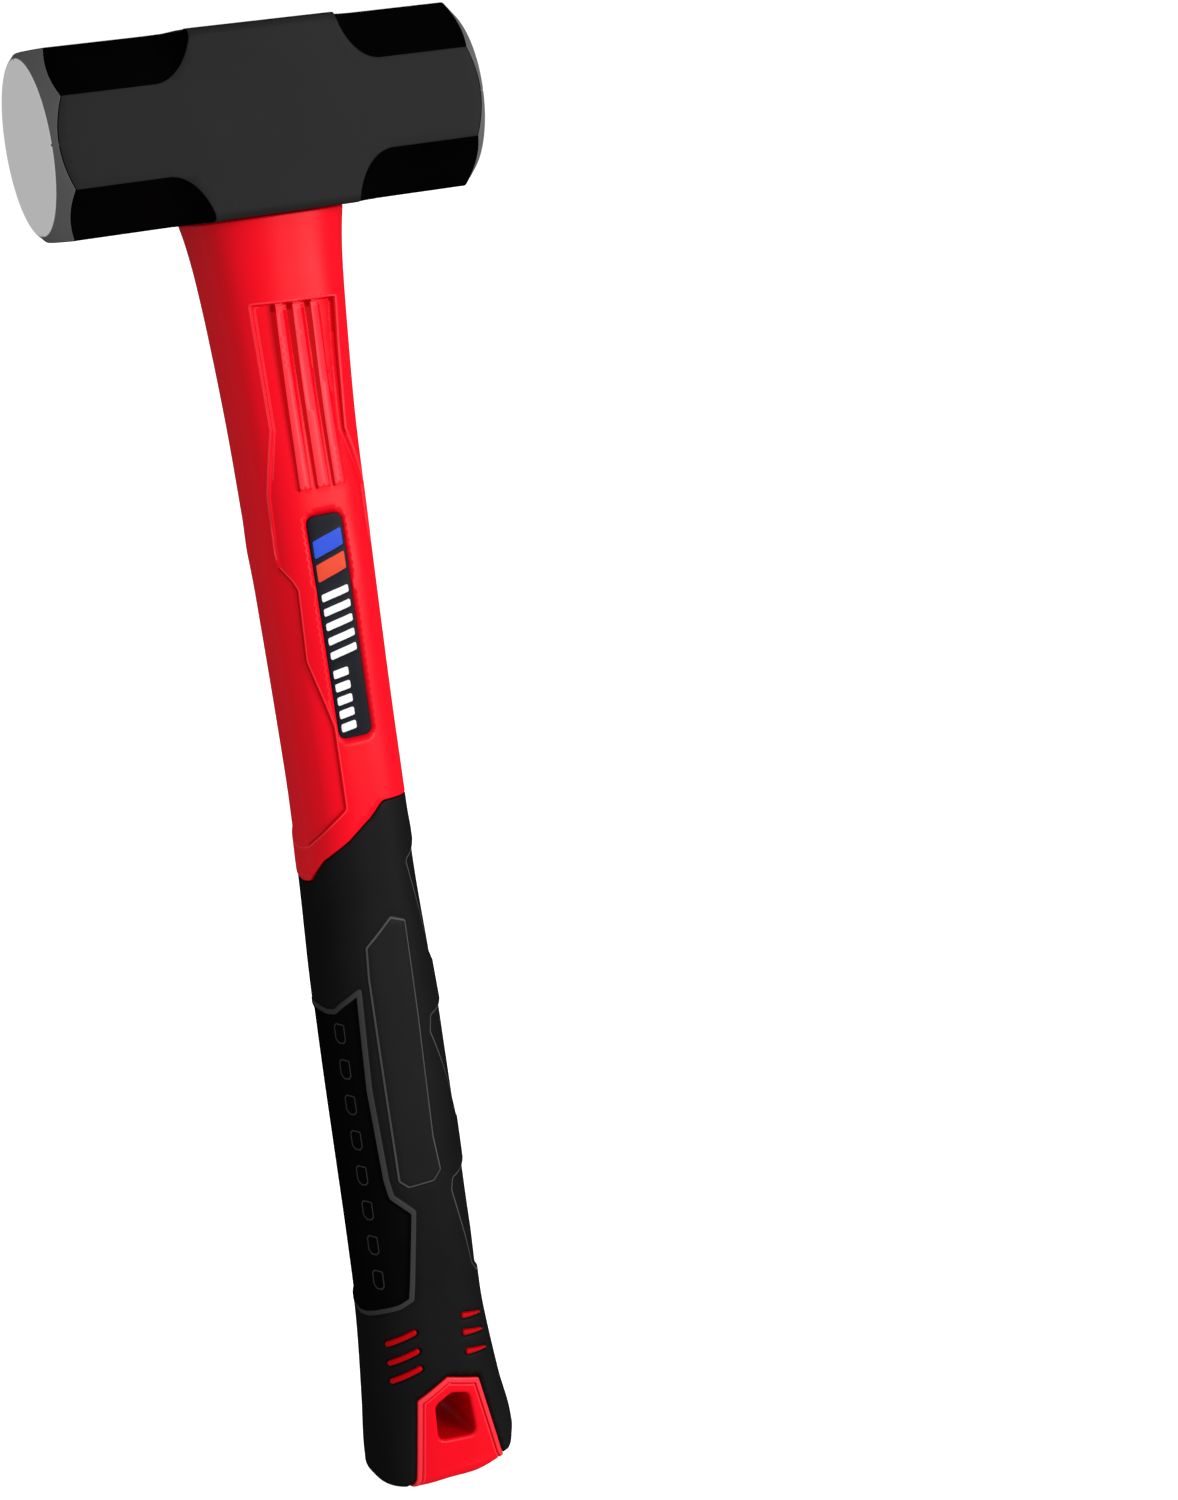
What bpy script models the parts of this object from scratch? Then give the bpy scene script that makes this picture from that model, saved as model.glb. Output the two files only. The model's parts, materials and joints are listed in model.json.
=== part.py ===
"""Double-faced engineer's sledgehammer with a fibreglass handle: a forged head, a pultruded core, the epoxy
that holds it in the eye, a moulded jacket, a rubber grip and a label plate on each side.
Metres. +Z runs up the handle to the head, X runs from one striking face to the other, -Y is the front cheek.
The origin is under the middle of the head, at the height of the butt's lowest point."""

import math

import bmesh
import bpy
from mathutils import Vector

MM = 0.001
GAP = 0.3 * MM  # between pieces that touch

# Driving dimensions
OVERALL = 381 * MM
HEAD_LENGTH = 110 * MM
HEAD_WIDTH = 44.8 * MM  # over the cheeks
HEAD_HEIGHT = 45.2 * MM  # of the block round the eye
END_DROP = 0.4 * MM  # the ends are ground this much lower than the block on top
FACE_RADIUS = 20.8 * MM  # of the flat striking face
FACE_CHAMFER = 0.93  # length along the head over growth in radius
TOP_FLAT = 12.3 * MM  # half the width left flat on top of an end
CHEEK_FLAT = 10.75 * MM  # half the height left flat on the cheek of an end
RUNOUT_RADIUS = 10.8 * MM  # where a long chamfer runs out at the block
RUNOUT_START = 28.6 * MM  # from the middle, where that curve starts
BLOCK_EDGE = 2.2 * MM
EYE_BOTTOM = (12.6 * MM, 9.6 * MM)  # half axes of the eye
EYE_TOP = (14.0 * MM, 11.0 * MM)
CORE = (9.6 * MM, 7.0 * MM)  # half axes of the rod
CORE_FOOT = 42 * MM  # height of its lower end
GRIP_WALL = 2.6 * MM
AROUND = 56  # points round the handle

HEAD_MIDDLE = OVERALL - HEAD_HEIGHT / 2
HEAD_UNDER = OVERALL - HEAD_HEIGHT
JACKET_TOP = HEAD_UNDER - GAP

# The handle's outside: height, half width in X, half depth in Y, shift in X, squareness of the section
HANDLE = [
    (0, 19.9, 15.3, -1.2, 3.0),
    (8, 19.6, 15.5, -1.2, 3.0),
    (20.4, 18.3, 15.5, -1.2, 2.9),
    (44.4, 16.5, 15.1, -1.2, 2.7),
    (68.4, 15.95, 15.0, -1.1, 2.7),
    (92.4, 15.9, 14.85, -0.9, 2.7),
    (116.4, 15.75, 14.7, -0.8, 2.7),
    (140.4, 15.4, 14.6, -0.6, 2.7),
    (164.4, 14.4, 14.5, -0.4, 2.8),
    (188.4, 13.9, 14.4, 0, 3.0),
    (212.4, 14.0, 14.3, 0, 3.0),
    (236.4, 14.35, 14.3, 0, 3.0),
    (260.4, 14.8, 14.3, 0, 3.0),
    (284.4, 15.3, 14.5, 0, 3.0),
    (308.4, 16.5, 15.4, 0.1, 3.0),
    (322.4, 17.7, 16.3, 0.1, 2.8),
    (330.4, 18.8, 17.0, 0.1, 2.7),
    (336, 20.0, 17.6, 0.1, 2.6),
]
BUTT_ROUND = 4.0  # height over which the butt is rounded
BUTT_POWER, BUTT_SQUARE = 2.6, 3.0  # of the rounding's outline, and of the section there
BUTT_TILT = 0.03  # the butt's underside rises towards +X
TILT_MIDDLE = 3.3  # X where the tilt neither raises nor lowers it
TILT_TOP = 13.0  # height by which the tilt has gone
# Where jacket meets grip: distance in X from the handle's middle, height
SEAM = [(-16, 168.5), (-12.5, 173.5), (-6, 178.5), (0, 183), (4, 187.2), (16, 186.6)]

# Outlines seen from the front, (X, height)
RIBS = [(-4.1, -5.5), (0.8, -0.9), (5.2, 3.8)]  # X at the top and at the bottom
RIB_TOP, RIB_FOOT = 315.5, 268
SIDE_PANEL = [(-30, 266), (-12.5, 266), (-12.2, 250), (-9.2, 246), (-9.4, 226), (-5.4, 208), (-5.2, 187),
              (-12, 181), (-30, 180)]
LABEL = (-4.65, 4.65, 205.2, 261.0)
LABEL_CORNER = 1.7
SIDE_PAD = [(-30, 134), (-15.5, 134), (-9, 139.5), (-9.7, 84), (-3.6, 77), (-7.4, 54.5), (-15, 50.5),
            (-30, 49.5)]
BUTT_WINDOW = [(-10.6, 25.3), (-1.6, 29.7), (7.6, 26.6), (11.2, 4.6), (12.4, -6), (-14.9, -6)]
HANG_HOLE = [(-5.9, 22.6), (-0.9, 24.8), (4.0, 23.3), (4.5, 13.4), (-6.4, 12.8)]
# Bars of the jacket that show through the grip: X and height at each end, three of each
BARS = [((-15.6, 41.4), (-7.8, 44.4)), ((5.2, 44.9), (11.2, 43.5))]
BAR_PITCH, BAR_HEIGHT = 5.2, 1.4


def clear_scene():
    for thing in list(bpy.data.objects):
        bpy.data.objects.remove(thing, do_unlink=True)


clear_scene()
PARTS = bpy.data.collections.new("sledgehammer")
CUTTERS = bpy.data.collections.new("sledgehammer_cutters")
for group in (PARTS, CUTTERS):
    bpy.context.scene.collection.children.link(group)


def material(name, colour, metallic, roughness):
    made = bpy.data.materials.new(name)
    made.use_nodes = True
    shader = made.node_tree.nodes["Principled BSDF"]
    shader.inputs["Base Color"].default_value = (*colour, 1)
    shader.inputs["Metallic"].default_value = metallic
    shader.inputs["Roughness"].default_value = roughness
    return made


def solid(name, points, faces, group=PARTS, finish=None):
    mesh = bpy.data.meshes.new(name)
    mesh.from_pydata([tuple(p) for p in points], [], faces)
    build = bmesh.new()
    build.from_mesh(mesh)
    bmesh.ops.remove_doubles(build, verts=build.verts, dist=1e-7)
    bmesh.ops.recalc_face_normals(build, faces=build.faces)
    build.to_mesh(mesh)
    build.free()
    thing = bpy.data.objects.new(name, mesh)
    group.objects.link(thing)
    if finish:
        mesh.materials.append(finish)
    mesh.shade_smooth()
    mesh.set_sharp_from_angle(angle=math.radians(30))
    if group is CUTTERS:
        thing.hide_render = True
        thing.display_type = "WIRE"
    return thing


def combine(thing, other, operation="DIFFERENCE"):
    step = thing.modifiers.new(other.name, "BOOLEAN")
    step.object = other
    step.operation = operation
    step.solver = "EXACT"


def between(knots, x, column):
    """Smooth value at x of a column of a table whose first column rises."""
    x = min(max(x, knots[0][0]), knots[-1][0])
    for i in range(len(knots) - 1):
        if x <= knots[i + 1][0]:
            break

    def slope(j):
        low, high = max(j - 1, 0), min(j + 1, len(knots) - 1)
        return (knots[high][column] - knots[low][column]) / (knots[high][0] - knots[low][0])

    a, b = knots[i], knots[i + 1]
    span = b[0] - a[0]
    t = (x - a[0]) / span
    return ((2 * t**3 - 3 * t**2 + 1) * a[column] + (t**3 - 2 * t**2 + t) * span * slope(i)
            + (3 * t**2 - 2 * t**3) * b[column] + (t**3 - t**2) * span * slope(i + 1))


def line(knots, x):
    """Straight-line value at x of a table of two columns."""
    x = min(max(x, knots[0][0]), knots[-1][0])
    for (x0, y0), (x1, y1) in zip(knots, knots[1:]):
        if x <= x1:
            return y0 + (y1 - y0) * (x - x0) / (x1 - x0)


def handle_point(height, angle, inset=0.0, shrink=1.0):
    """Point of the handle's outside, in millimetres, moved in by inset."""
    half_x, half_y = between(HANDLE, height, 1), between(HANDLE, height, 2)
    middle, square = between(HANDLE, height, 3), between(HANDLE, height, 4)
    c, s = math.cos(angle), math.sin(angle)
    x = (half_x * shrink - inset) * math.copysign(abs(c) ** (2 / square), c)
    y = (half_y * shrink - inset) * math.copysign(abs(s) ** (2 / square), s)
    return x + middle, y


def butt_ring(inset, low, shrink):
    """Ring of the rounded butt, tilted as its underside is."""
    ring = []
    for k in range(AROUND):
        x, y = handle_point(low, 2 * math.pi * k / AROUND, inset, shrink)
        share = max(0, 1 - low / TILT_TOP)
        tilt = BUTT_TILT * (x - HANDLE[0][3] - TILT_MIDDLE) * share
        ring.append(Vector((x, y, low + inset * share + tilt)) * MM)
    return ring


def butt_rings(inset):
    """Rings of the butt from the middle of its underside up."""
    rings = []
    for degrees in (80, 72, 62, 50, 36, 20, 0):
        turn = math.radians(degrees)
        low = BUTT_ROUND * (1 - math.sin(turn) ** (2 / BUTT_POWER))
        rings.append(butt_ring(inset, low, math.cos(turn) ** (2 / BUTT_SQUARE)))
    return rings + [butt_ring(inset, TILT_TOP, 1.0)]


def ring_at(height, inset=0.0):
    turns = [2 * math.pi * k / AROUND for k in range(AROUND)]
    return [Vector((*handle_point(height, turn, inset), height)) * MM for turn in turns]


def seam_ring(inset, drop):
    """Ring along the seam between jacket and grip, or drop below it."""
    ring = []
    for k in range(AROUND):
        angle = 2 * math.pi * k / AROUND
        x, _ = handle_point(178, angle)
        height = line(SEAM, x) - drop
        x, y = handle_point(height, angle, inset)
        ring.append(Vector((x, y, height)) * MM)
    return ring


def oval_ring(half_x, half_y, height, count=40):
    turns = [2 * math.pi * k / count for k in range(count)]
    return [Vector((half_x * math.cos(turn), half_y * math.sin(turn), height)) for turn in turns]


def skin(rings, closed):
    """Points and faces of rings joined in order, ending in flat caps, or in the first ring again."""
    points = [p for ring in rings for p in ring]
    n, faces = len(rings[0]), []
    for i in range(len(rings) if closed else len(rings) - 1):
        j = (i + 1) % len(rings)
        for k in range(n):
            m = (k + 1) % n
            faces.append((i * n + k, i * n + m, j * n + m, j * n + k))
    if not closed:
        faces += [tuple(range(n)), tuple((len(rings) - 1) * n + k for k in range(n))]
    return points, faces


def prism(name, outline, low, high, group=CUTTERS, finish=None):
    """Outline of (X, height) in millimetres, drawn through from Y low to high."""
    n = len(outline)
    points = [Vector((x, y, z)) * MM for y in (low, high) for x, z in outline]
    faces = [tuple(range(n)), tuple(range(n, 2 * n))]
    faces += [(k, (k + 1) % n, n + (k + 1) % n, n + k) for k in range(n)]
    return solid(name, points, faces, group, finish)


def rounded(low_x, high_x, low_z, high_z, radius, steps=4):
    corners = [(high_x, high_z, 0), (low_x, high_z, 90), (low_x, low_z, 180), (high_x, low_z, 270)]
    outline = []
    for x, z, start in corners:
        x += radius if x == low_x else -radius
        z += radius if z == low_z else -radius
        for k in range(steps + 1):
            turn = math.radians(start + 90 * k / steps)
            outline.append((x + radius * math.cos(turn), z + radius * math.sin(turn)))
    return outline


def grown(outline, by):
    """Outline moved outwards by a distance, whichever way round it is drawn."""
    area = sum(a[0] * b[1] - b[0] * a[1] for a, b in zip(outline, outline[1:] + outline[:1]))
    turn = math.copysign(1, area)
    made = []
    for i, here in enumerate(outline):
        before, after = Vector(outline[i - 1]), Vector(outline[(i + 1) % len(outline)])
        here = Vector(here)
        a, b = (here - before).normalized(), (after - here).normalized()
        na, nb = Vector((a.y, -a.x)) * turn, Vector((b.y, -b.x)) * turn
        made.append(tuple(here + (na + nb) * by / max(0.3, 1 + na.dot(nb))))
    return made


def bar_outline(start, end, drop, extra=0.0):
    """A slanted bar between two points, as an outline."""
    a, b = Vector(start), Vector(end)
    along = (b - a).normalized()
    across = Vector((-along.y, along.x)) * (BAR_HEIGHT / 2 + extra)
    a, b = a - along * extra, b + along * extra
    return [(p.x, p.y - drop) for p in (a - across, b - across, b + across, a + across)]


painted = material("painted_steel", (0.02, 0.02, 0.02), 0.3, 0.5)
fibre = material("fibreglass", (0.62, 0.55, 0.32), 0, 0.5)
epoxy = material("epoxy", (0.05, 0.05, 0.05), 0, 0.3)
red = material("red_plastic", (0.75, 0.01, 0.03), 0, 0.35)
black = material("black_rubber", (0.012, 0.012, 0.012), 0, 0.65)
label = material("label", (0.02, 0.025, 0.05), 0, 0.3)

# Head: a block, its ends ground to eight sides and lower, the faces turned, and the eye
half = Vector((HEAD_LENGTH, HEAD_WIDTH, HEAD_HEIGHT)) / 2
corners = []
for turn, (sy, sz) in enumerate([(1, 1), (-1, 1), (-1, -1), (1, -1)]):
    for k in range(4):
        angle = math.radians(90 * turn + 30 * k)
        corners.append((sy * (half.y - BLOCK_EDGE) + BLOCK_EDGE * math.cos(angle),
                        sz * (half.z - BLOCK_EDGE) + BLOCK_EDGE * math.sin(angle) + HEAD_MIDDLE))
block_rings = [[Vector((x, y, z)) for y, z in corners] for x in (-half.x, half.x)]
steel_head = solid("steel_head", *skin(block_rings, False), finish=painted)

across = Vector((0, half.y - TOP_FLAT, -(half.z - END_DROP - CHEEK_FLAT))).normalized()  # down a long chamfer
outward = Vector((0, -across.z, across.y))
depth = Vector((0, TOP_FLAT, half.z - END_DROP)).dot(outward)
section = [(RUNOUT_START, 0)]
for k in range(1, 9):
    turn = math.radians(88 * k / 8)
    section.append((RUNOUT_START - RUNOUT_RADIUS * math.sin(turn), RUNOUT_RADIUS * (1 - math.cos(turn))))
section += [(section[-1][0], 0.014), (half.x + 0.005, 0.014), (half.x + 0.005, 0)]
for end in (-1, 1):
    for side in (-1, 1):
        for up in (-1, 1):
            flip = Vector((end, side, up))
            rings = []
            for reach in (-0.016, 0.016):
                ring = []
                for x, out in section:
                    p = outward * (depth + out) + across * (reach + 0.0005)
                    ring.append(Vector((end * x, side * p.y, up * p.z + HEAD_MIDDLE)))
                rings.append(ring)
            corner = ("_left", "_right")[end > 0] + ("_front", "_back")[side > 0] + ("_low", "_high")[up > 0]
            name = "chamfer" + corner
            combine(steel_head, solid(name, *skin(rings, False), group=CUTTERS))
    x0, x1 = sorted((end * (RUNOUT_START - RUNOUT_RADIUS * 0.9), end * (half.x + 0.005)))
    rings = [[Vector((x, y, z + HEAD_MIDDLE)) for x, y in ((x0, -0.03), (x1, -0.03), (x1, 0.03), (x0, 0.03))]
             for z in (half.z - END_DROP, half.z + 0.004)]
    combine(steel_head, solid("end_drop" + ("_left", "_right")[end > 0], *skin(rings, False), group=CUTTERS))

turned = []
CONE = 0.016  # how far the turned cone grows, to well past the head's corners
for x, radius in ((-half.x, FACE_RADIUS), (-half.x + CONE * FACE_CHAMFER, FACE_RADIUS + CONE),
                  (half.x - CONE * FACE_CHAMFER, FACE_RADIUS + CONE), (half.x, FACE_RADIUS)):
    turned.append([Vector((x, p.x, HEAD_MIDDLE + p.y)) for p in oval_ring(radius, radius, 0, 72)])
combine(steel_head, solid("face_turning", *skin(turned, False), group=CUTTERS), "INTERSECT")


def eye_ring(height, inset):
    share = (height - HEAD_UNDER) / HEAD_HEIGHT
    sizes = [b + (t - b) * share - inset for b, t in zip(EYE_BOTTOM, EYE_TOP)]
    return oval_ring(*sizes, height)


eye_rings = [eye_ring(h, 0) for h in (HEAD_UNDER - 0.004, OVERALL + 0.004)]
combine(steel_head, solid("eye_cutter", *skin(eye_rings, False), group=CUTTERS))

# Rod and the epoxy round it in the eye
CORE_TOP = OVERALL - 0.9 * MM
CORE_EDGE = 0.5 * MM  # chamfer at the rod's top
core_rings = [oval_ring(*CORE, h) for h in (CORE_FOOT, CORE_TOP - CORE_EDGE)]
core_rings.append(oval_ring(CORE[0] - CORE_EDGE, CORE[1] - CORE_EDGE, CORE_TOP))
solid("fiberglass_core", *skin(core_rings, False), finish=fibre)
low, high = HEAD_UNDER + GAP, OVERALL - 1.4 * MM
bore = (CORE[0] + GAP, CORE[1] + GAP)
epoxy_rings = [eye_ring(low, GAP), eye_ring(high, GAP), oval_ring(*bore, high), oval_ring(*bore, low)]
solid("eye_epoxy", *skin(epoxy_rings, True), finish=epoxy)

# Jacket: the whole outside above the seam, and a thinner body inside the grip below it
GRIP_LEVELS = (20, 28, 38, 50, 64, 80, 96, 112, 128, 142, 152)  # heights of the rings inside the grip
levels = [193, 200, 208, 216, 226, 236, 246, 256, 266, 276, 286, 296, 304, 311, 317, 322, 326, 329.5, 332.5]
inset = GRIP_WALL / MM + GAP / MM
rings = butt_rings(inset)
rings += [ring_at(h, inset) for h in GRIP_LEVELS]
rings += [seam_ring(inset, 3), seam_ring(inset, 0), seam_ring(0.0, 0)]
rings += [ring_at(h) for h in levels] + [ring_at(JACKET_TOP / MM)]
jacket = solid("handle_jacket", *skin(rings, False), finish=red)


def shell(name, inset, low, high, outer=3.0):
    """Tube from inset under the handle's outside to well over it, for cutting a panel to a depth."""
    heights = [low + (high - low) * k / 8 for k in range(9)]
    made = [ring_at(h, -outer) for h in heights] + [ring_at(h, inset) for h in reversed(heights)]
    return solid(name, *skin(made, True), group=CUTTERS)


def panel(thing, name, outline, depth, low, high):
    """Sinks the handle's outside by depth inside an outline, on the front and, mirrored, on the back."""
    cut = shell(name + "_depth", depth, low, high)
    combine(cut, prism(name + "_area", outline, -40, 40), "INTERSECT")
    combine(thing, cut)


panel(jacket, "side_panel", SIDE_PANEL, 0.45, 170, 280)
for sign, where in ((-1, "front"), (1, "back")):
    for number, (top_x, foot_x) in enumerate(RIBS, 1):
        outline = [(top_x - 1.0, RIB_TOP), (foot_x - 0.5, RIB_FOOT), (foot_x + 0.5, RIB_FOOT),
                   (top_x + 1.0, RIB_TOP)]
        cut = shell(f"groove_{where}_{number}_depth", 0.5, 262, 320)
        combine(cut, prism(f"groove_{where}_{number}_area", outline, *sorted((0, sign * 40))), "INTERSECT")
        combine(jacket, cut)

# Label plates sit in their own recess
for sign, where in ((-1, "front"), (1, "back")):
    cut = shell(f"label_recess_{where}", 1.0, 200, 266)
    side = sorted((0, sign * 40))
    area = prism(f"label_recess_area_{where}", rounded(*LABEL, LABEL_CORNER), *side)
    combine(cut, area, "INTERSECT")
    combine(jacket, cut)
    heights = [200 + 6 * k for k in range(12)]
    rings = [ring_at(h, 0.2) for h in heights] + [ring_at(h, 0.7) for h in reversed(heights)]
    plate = solid(f"label_{where}", *skin(rings, True), finish=label)
    inner = (LABEL[0] + 0.3, LABEL[1] - 0.3, LABEL[2] + 0.3, LABEL[3] - 0.3)
    combine(plate, prism(f"label_area_{where}", rounded(*inner, LABEL_CORNER - 0.3), *side), "INTERSECT")

# Butt block, bars and hang hole
BLOCK_LEVELS = (20, 28, 36, 44, 52)  # heights of the rings above the butt's rounding
rings = butt_rings(0.35) + [ring_at(h, 0.35) for h in BLOCK_LEVELS]
body_block = solid("butt_block", *skin(rings, False), group=CUTTERS)
window = prism("butt_block_area", grown(BUTT_WINDOW, -0.3), -40, 40)
combine(body_block, window, "INTERSECT")
combine(jacket, body_block, "UNION")
for side, (start, end) in enumerate(BARS):
    for number in range(3):
        name = f"bar_{('left', 'right')[side]}_{number + 1}"
        bar = solid(name, *skin([ring_at(h, 0.3) for h in BLOCK_LEVELS], False), group=CUTTERS)
        combine(bar, prism(name + "_area", bar_outline(start, end, BAR_PITCH * number), -40, 40), "INTERSECT")
        combine(jacket, bar, "UNION")
combine(jacket, prism("hang_hole", HANG_HOLE, -40, 40))
bore_rings = [oval_ring(*bore, h) for h in (CORE_FOOT - GAP, HEAD_UNDER + 0.005)]
combine(jacket, solid("core_bore", *skin(bore_rings, False), group=CUTTERS))

# Grip: a sleeve open at the butt, where the jacket's block shows
outer = butt_rings(0.0)
outer += [ring_at(h) for h in GRIP_LEVELS]
outer += [seam_ring(0.0, 3), seam_ring(0.0, GAP / MM)]
wall = GRIP_WALL / MM
inner = [seam_ring(wall, GAP / MM), seam_ring(wall, 3)]
inner += [ring_at(h, wall) for h in reversed(GRIP_LEVELS)]
inner += reversed(butt_rings(wall))
grip = solid("rubber_grip", *skin(outer + inner, True), finish=black)
combine(grip, prism("grip_window", BUTT_WINDOW, -40, 40))
for side, (start, end) in enumerate(BARS):
    for number in range(3):
        name = f"slot_{('left', 'right')[side]}_{number + 1}"
        combine(grip, prism(name, bar_outline(start, end, BAR_PITCH * number, 0.3), -40, 40))
panel(grip, "side_pad", SIDE_PAD, 0.5, 44, 144)
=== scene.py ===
"""Looks of the double-faced sledgehammer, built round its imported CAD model.

The handle's outside is drawn flat, as if unrolled: s runs round the handle in millimetres from the middle
of the front, towards +X, and t is height in millimetres. Below ROUND_FROM, t goes on along the rounded butt
to the middle of its underside. Only the front half is drawn, and the back is its mirror image."""

import json
import math

import bpy
import numpy as np
from mathutils import Matrix, Vector
from mathutils.geometry import delaunay_2d_cdt

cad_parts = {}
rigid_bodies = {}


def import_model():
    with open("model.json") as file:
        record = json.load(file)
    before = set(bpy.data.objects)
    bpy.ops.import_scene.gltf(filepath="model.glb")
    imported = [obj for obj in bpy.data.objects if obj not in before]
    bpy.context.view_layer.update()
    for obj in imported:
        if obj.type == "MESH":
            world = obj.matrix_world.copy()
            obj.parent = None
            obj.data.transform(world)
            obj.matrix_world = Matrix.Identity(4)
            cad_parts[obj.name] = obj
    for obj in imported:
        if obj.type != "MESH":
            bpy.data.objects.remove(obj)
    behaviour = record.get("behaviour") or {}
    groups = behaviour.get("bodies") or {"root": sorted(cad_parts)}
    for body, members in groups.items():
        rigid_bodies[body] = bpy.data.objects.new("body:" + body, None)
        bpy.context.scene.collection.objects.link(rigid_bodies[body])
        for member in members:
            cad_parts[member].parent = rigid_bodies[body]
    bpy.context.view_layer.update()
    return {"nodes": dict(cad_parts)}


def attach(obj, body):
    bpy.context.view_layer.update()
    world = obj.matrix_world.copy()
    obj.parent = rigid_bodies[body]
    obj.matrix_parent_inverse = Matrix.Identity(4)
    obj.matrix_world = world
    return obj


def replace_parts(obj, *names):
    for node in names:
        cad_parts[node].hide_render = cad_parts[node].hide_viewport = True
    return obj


for thing in list(bpy.data.objects):
    bpy.data.objects.remove(thing, do_unlink=True)

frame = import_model()
MM = 0.001

# ---- the handle's shape
# Height, half width in X, half depth in Y, shift in X, squareness of the section
HEIGHT, HALF_X, HALF_Y, SHIFT, SQUARE = range(5)
HANDLE = np.array([
    (0, 19.9, 15.3, -1.2, 3.0), (8, 19.6, 15.5, -1.2, 3.0), (20.4, 18.3, 15.5, -1.2, 2.9),
    (44.4, 16.5, 15.1, -1.2, 2.7), (68.4, 15.95, 15.0, -1.1, 2.7), (92.4, 15.9, 14.85, -0.9, 2.7),
    (116.4, 15.75, 14.7, -0.8, 2.7), (140.4, 15.4, 14.6, -0.6, 2.7), (164.4, 14.4, 14.5, -0.4, 2.8),
    (188.4, 13.9, 14.4, 0, 3.0), (212.4, 14.0, 14.3, 0, 3.0), (236.4, 14.35, 14.3, 0, 3.0),
    (260.4, 14.8, 14.3, 0, 3.0), (284.4, 15.3, 14.5, 0, 3.0), (308.4, 16.5, 15.4, 0.1, 3.0),
    (322.4, 17.7, 16.3, 0.1, 2.8), (330.4, 18.8, 17.0, 0.1, 2.7), (336, 20.0, 17.6, 0.1, 2.6),
])
JACKET_TOP = 335.5
HEAD_MIDDLE = 358.4
ROUND_FROM = 4.0  # the butt's rounding starts at this height
ROUND_RUN = 18.0  # and is this long on the drawing, to the middle of the underside
ROUND_POWER = 2.6
BUTT_TILT = 0.03
TILT_MIDDLE = 3.3  # X where the tilt neither raises nor lowers the underside
TILT_TOP = 13.0

TINY = 1e-6


def squared(value, square):
    """A cosine or sine, reshaped for a section that is fuller than an ellipse."""
    return np.sign(value) * np.abs(value) ** (2 / square)


# s is measured round a middling section, so that it is close to true millimetres all the way down
SECTION_X, SECTION_Y, SECTION_SQUARE = 15.2, 14.7, 2.8
turn_table = np.linspace(-math.pi, 0, 2001)
section_x = SECTION_X * squared(np.cos(turn_table), SECTION_SQUARE)
section_y = SECTION_Y * squared(np.sin(turn_table), SECTION_SQUARE)
run_table = np.concatenate([[0], np.cumsum(np.hypot(np.diff(section_x), np.diff(section_y)))])
SIDE = run_table[-1] / 2  # s at the middle of either side
run_table = run_table - SIDE


def smooth_table(column, height):
    """Column of HANDLE at these heights, by cubic pieces through its rows."""
    z, v = HANDLE[:, HEIGHT], HANDLE[:, column]
    slope = np.empty(len(z))
    slope[1:-1] = (v[2:] - v[:-2]) / (z[2:] - z[:-2])
    slope[0], slope[-1] = (v[1] - v[0]) / (z[1] - z[0]), (v[-1] - v[-2]) / (z[-1] - z[-2])
    height = np.clip(height, z[0], z[-1])
    i = np.clip(np.searchsorted(z, height, side="right") - 1, 0, len(z) - 2)
    span = z[i + 1] - z[i]
    k = (height - z[i]) / span
    return ((2 * k**3 - 3 * k**2 + 1) * v[i] + (k**3 - 2 * k**2 + k) * span * slope[i]
            + (3 * k**2 - 2 * k**3) * v[i + 1] + (k**3 - k**2) * span * slope[i + 1])


def under_turn(t):
    """The turn round the butt's rounding, from 0 where it starts to a right angle under the middle."""
    return np.clip((ROUND_FROM - t) / ROUND_RUN, 0, 1) * math.pi / 2


def skin_point(s, t):
    """Points of the handle's plain outside, in millimetres."""
    s, t = np.asarray(s, float), np.asarray(t, float)
    turn = np.interp(s, run_table, turn_table)
    psi = under_turn(t)
    height = np.maximum(t, ROUND_FROM)
    square = smooth_table(SQUARE, height)
    share = np.maximum(np.cos(psi), 0) ** (2 / square)
    drop = ROUND_FROM * np.abs(np.sin(psi)) ** (2 / ROUND_POWER)
    height = height - drop
    half_x, half_y = smooth_table(HALF_X, height), smooth_table(HALF_Y, height)
    x = half_x * share * squared(np.cos(turn), square)
    y = half_y * share * squared(np.sin(turn), square)
    tilt = BUTT_TILT * (x - TILT_MIDDLE) * np.clip(1 - height / TILT_TOP, 0, None)
    return np.stack([x + smooth_table(SHIFT, height), y, height + tilt], -1)


def unit(vectors):
    return vectors / np.maximum(np.linalg.norm(vectors, axis=-1, keepdims=True), 1e-9)


def outward(s, t, surface=skin_point, step=0.05):
    """Outward unit normals of a drawn surface."""
    along_s = surface(s + step, t) - surface(s - step, t)
    along_t = surface(s, t + step) - surface(s, t - step)
    return unit(np.cross(along_s, along_t))


# ---- drawing tools
def ease(value):
    """0 up to 0 and 1 from 1, with a smooth rise between."""
    value = np.clip(value, 0, 1)
    return value * value * (3 - 2 * value)


def inside_depth(outline, s, t):
    """Distance inside a closed outline, negative outside it."""
    points = np.stack([s, t], -1)[..., None, :]
    a = np.array(outline, float)
    b = np.roll(a, -1, axis=0)
    edge = b - a
    rel = points - a
    k = np.clip((rel * edge).sum(-1) / np.maximum((edge * edge).sum(-1), 1e-12), 0, 1)
    near = np.sqrt(((rel - k[..., None] * edge) ** 2).sum(-1)).min(-1)
    px, py = points[..., 0], points[..., 1]
    crosses = (a[:, 1] > py) != (b[:, 1] > py)
    with np.errstate(divide="ignore", invalid="ignore"):
        at = a[:, 0] + (py - a[:, 1]) * edge[:, 0] / np.where(edge[:, 1] == 0, 1e-12, edge[:, 1])
    odd = (crosses & (px < at)).sum(-1) % 2 == 1
    return np.where(odd, near, -near)


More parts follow.
